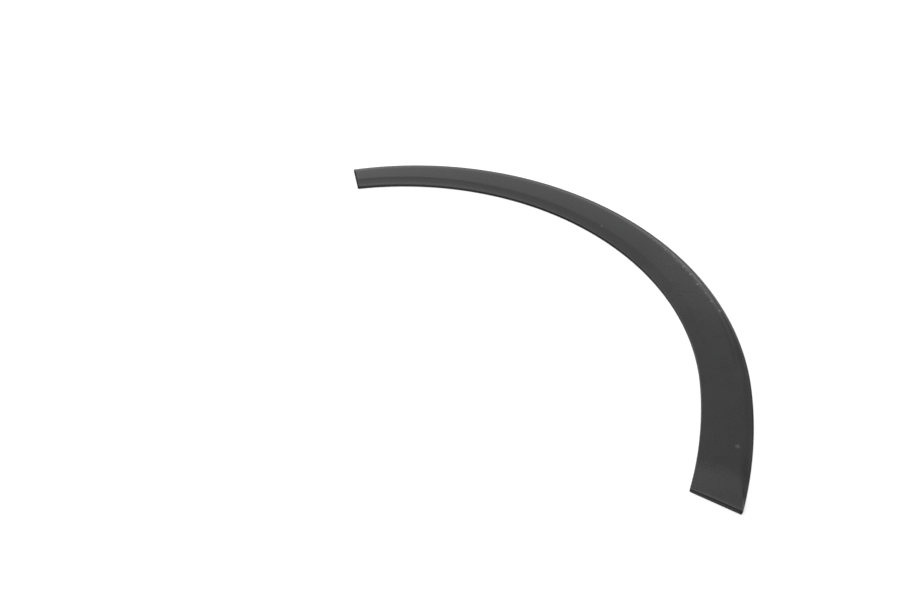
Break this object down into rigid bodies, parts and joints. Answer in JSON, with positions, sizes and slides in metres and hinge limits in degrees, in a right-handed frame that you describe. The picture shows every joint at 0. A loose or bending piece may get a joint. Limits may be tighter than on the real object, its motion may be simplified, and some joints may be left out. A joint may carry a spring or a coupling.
{
  "type": "wheel arch trim",
  "caption": "Long curved plastic trim strip for a wheel arch: tilted band and crease beside the wheel, rolled thin outer edge, wider slanted tail end, hollow ribbed back with a rim.",
  "frame": {"origin": "middle of the strip's box in X and Y, on the surface that its back rim lies on", "axes": "+X along the car towards the tail end's side, +Y up on the car as fitted, +Z out of the car's side, which is up as the strip lies"},
  "size_m": [0.5114, 0.655, 0.0074],
  "materials": {
    "trim_plastic": "moulded black plastic with a fine grain, half matt"
  },
  "bodies": {
    "root": {"arch_trim": "trim_plastic"}
  },
  "joints": []
}
